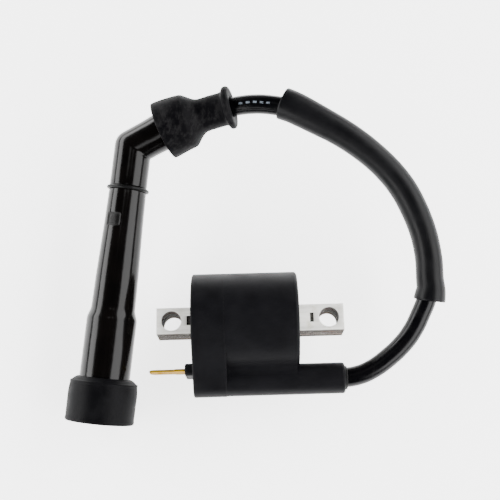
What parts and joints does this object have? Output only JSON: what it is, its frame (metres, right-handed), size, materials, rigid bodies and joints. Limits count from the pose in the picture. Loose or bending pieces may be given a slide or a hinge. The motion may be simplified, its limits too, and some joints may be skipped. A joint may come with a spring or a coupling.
{
  "type": "ignition coil",
  "caption": "Single-lead ignition coil: potted housing on a lug core, blade terminal, short high-tension lead with sleeve, and an elbow plug cap with rubber boots.",
  "frame": {"origin": "middle of the core bar, midway between the two lug holes at half the bar's thickness", "axes": "+X along the core bar towards the lead tower's mouth, +Z along the lug holes, +Y away from the lead tower"},
  "size_m": [0.1364, 0.1192, 0.0488],
  "materials": {
    "housing_plastic": "matte black moulded plastic with a fine grain",
    "epoxy": "dark cast epoxy, self-levelled",
    "core_steel": "bright stamped silicon steel sheets, dark on the cut edges",
    "bobbin_plastic": "natural glass-filled nylon",
    "enamelled_copper": "enamelled copper wire, close wound",
    "bare_copper": "bright copper",
    "plated_steel": "zinc-plated steel",
    "brass": "rolled yellow brass",
    "rubber_black": "smooth black rubber",
    "lead_insulation": "glossy black lead insulation with plain pale print dashes",
    "sleeve_vinyl": "satin black vinyl tube",
    "rubber_dusty": "matte black rubber with a dusty mottled bloom",
    "rubber_boot": "matte black rubber",
    "cap_phenolic": "polished black phenolic moulding",
    "resistor_ceramic": "unglazed white ceramic"
  },
  "bodies": {
    "coil": {"housing": "housing_plastic", "epoxy_fill": "epoxy", "core_laminations": "core_steel", "primary_bobbin": "bobbin_plastic", "primary_winding": "enamelled_copper", "secondary_bobbin": "bobbin_plastic", "secondary_winding": "enamelled_copper", "terminal_base": "housing_plastic", "primary_terminal": "brass", "primary_jumper": "bare_copper", "ground_strip": "plated_steel", "hv_link_wire": "bare_copper", "hv_terminal": "brass", "lead_grommet": "rubber_black", "lead_conductor": "bare_copper", "ht_lead": "lead_insulation", "lead_sleeve": "sleeve_vinyl", "cable_boot": "rubber_dusty"},
    "plug_cap": {"cap_body": "cap_phenolic", "cap_band": "rubber_black", "lead_screw": "plated_steel", "elbow_insert": "brass", "resistor_end_caps": "plated_steel", "cap_resistor": "resistor_ceramic", "contact_spring": "plated_steel", "plug_contact": "brass", "retaining_clip": "plated_steel"},
    "plug_boot": {"plug_boot": "rubber_boot"}
  },
  "joints": [
    {"name": "cap_turn", "type": "hinge", "parent": "coil", "child": "plug_cap", "pos_m": [-0.0415, 0.0645, 0.0115], "axis": [0.892, 0.3799, 0.245], "range_deg": [-180, 180]},
    {"name": "boot_pull", "type": "slide", "parent": "plug_cap", "child": "plug_boot", "axis": [-0.1313, -0.9765, -0.1707], "range_m": [0, 0.016]}
  ]
}
